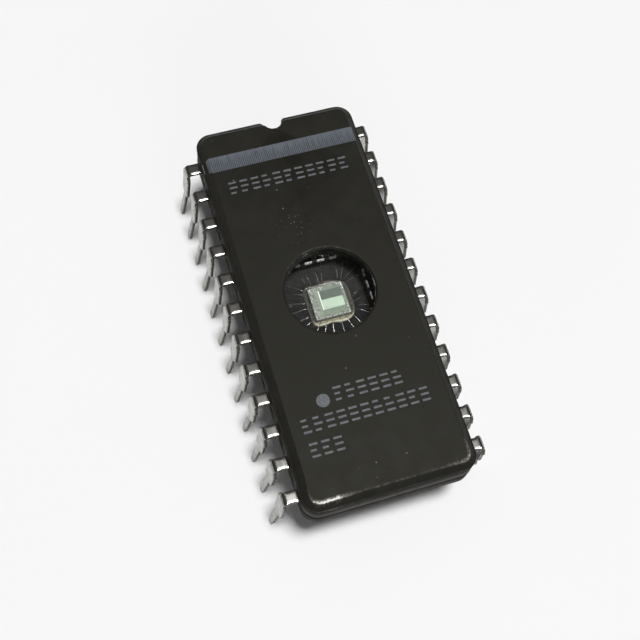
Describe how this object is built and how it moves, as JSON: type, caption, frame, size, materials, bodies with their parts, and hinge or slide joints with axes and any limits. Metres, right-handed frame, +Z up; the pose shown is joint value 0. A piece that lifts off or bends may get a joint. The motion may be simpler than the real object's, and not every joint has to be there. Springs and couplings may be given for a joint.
{
  "type": "eprom chip",
  "caption": "Ultraviolet-erasable memory chip in a ceramic dual in-line package, with a round window over its die and two rows of formed leads.",
  "frame": {"origin": "on the plane of the lead tips, under the middle of the body", "axes": "+Z up out of the window, +Y along the body towards the end with the index notch, +X across the body away from lead 1"},
  "size_m": [0.017, 0.0318, 0.0084],
  "materials": {
    "ceramic": "matt, dark grey pressed alumina",
    "sealing_glass": "satin, opaque grey solder glass",
    "window_glass": "clear, polished",
    "silicon": "polished, with patterned films",
    "die_bed": "satin, metal-filled glass",
    "tin_plate": "satin tin plate",
    "bond_wire": "bright drawn wire"
  },
  "bodies": {
    "root": {"ceramic_base": "ceramic", "seal_glass": "sealing_glass", "ceramic_cap": "ceramic", "window": "window_glass", "die": "silicon", "die_attach": "die_bed", "lead_01": "tin_plate", "lead_02": "tin_plate", "lead_03": "tin_plate", "lead_04": "tin_plate", "lead_05": "tin_plate", "lead_06": "tin_plate", "lead_07": "tin_plate", "lead_08": "tin_plate", "lead_09": "tin_plate", "lead_10": "tin_plate", "lead_11": "tin_plate", "lead_12": "tin_plate", "lead_13": "tin_plate", "lead_14": "tin_plate", "lead_15": "tin_plate", "lead_16": "tin_plate", "lead_17": "tin_plate", "lead_18": "tin_plate", "lead_19": "tin_plate", "lead_20": "tin_plate", "lead_21": "tin_plate", "lead_22": "tin_plate", "lead_23": "tin_plate", "lead_24": "tin_plate", "bond_wire_01": "bond_wire", "bond_wire_02": "bond_wire", "bond_wire_03": "bond_wire", "bond_wire_04": "bond_wire", "bond_wire_05": "bond_wire", "bond_wire_06": "bond_wire", "bond_wire_07": "bond_wire", "bond_wire_08": "bond_wire", "bond_wire_09": "bond_wire", "bond_wire_10": "bond_wire", "bond_wire_11": "bond_wire", "bond_wire_12": "bond_wire", "bond_wire_13": "bond_wire", "bond_wire_14": "bond_wire", "bond_wire_15": "bond_wire", "bond_wire_16": "bond_wire", "bond_wire_17": "bond_wire", "bond_wire_18": "bond_wire", "bond_wire_19": "bond_wire", "bond_wire_20": "bond_wire", "bond_wire_21": "bond_wire", "bond_wire_22": "bond_wire", "bond_wire_23": "bond_wire", "bond_wire_24": "bond_wire"}
  },
  "joints": []
}
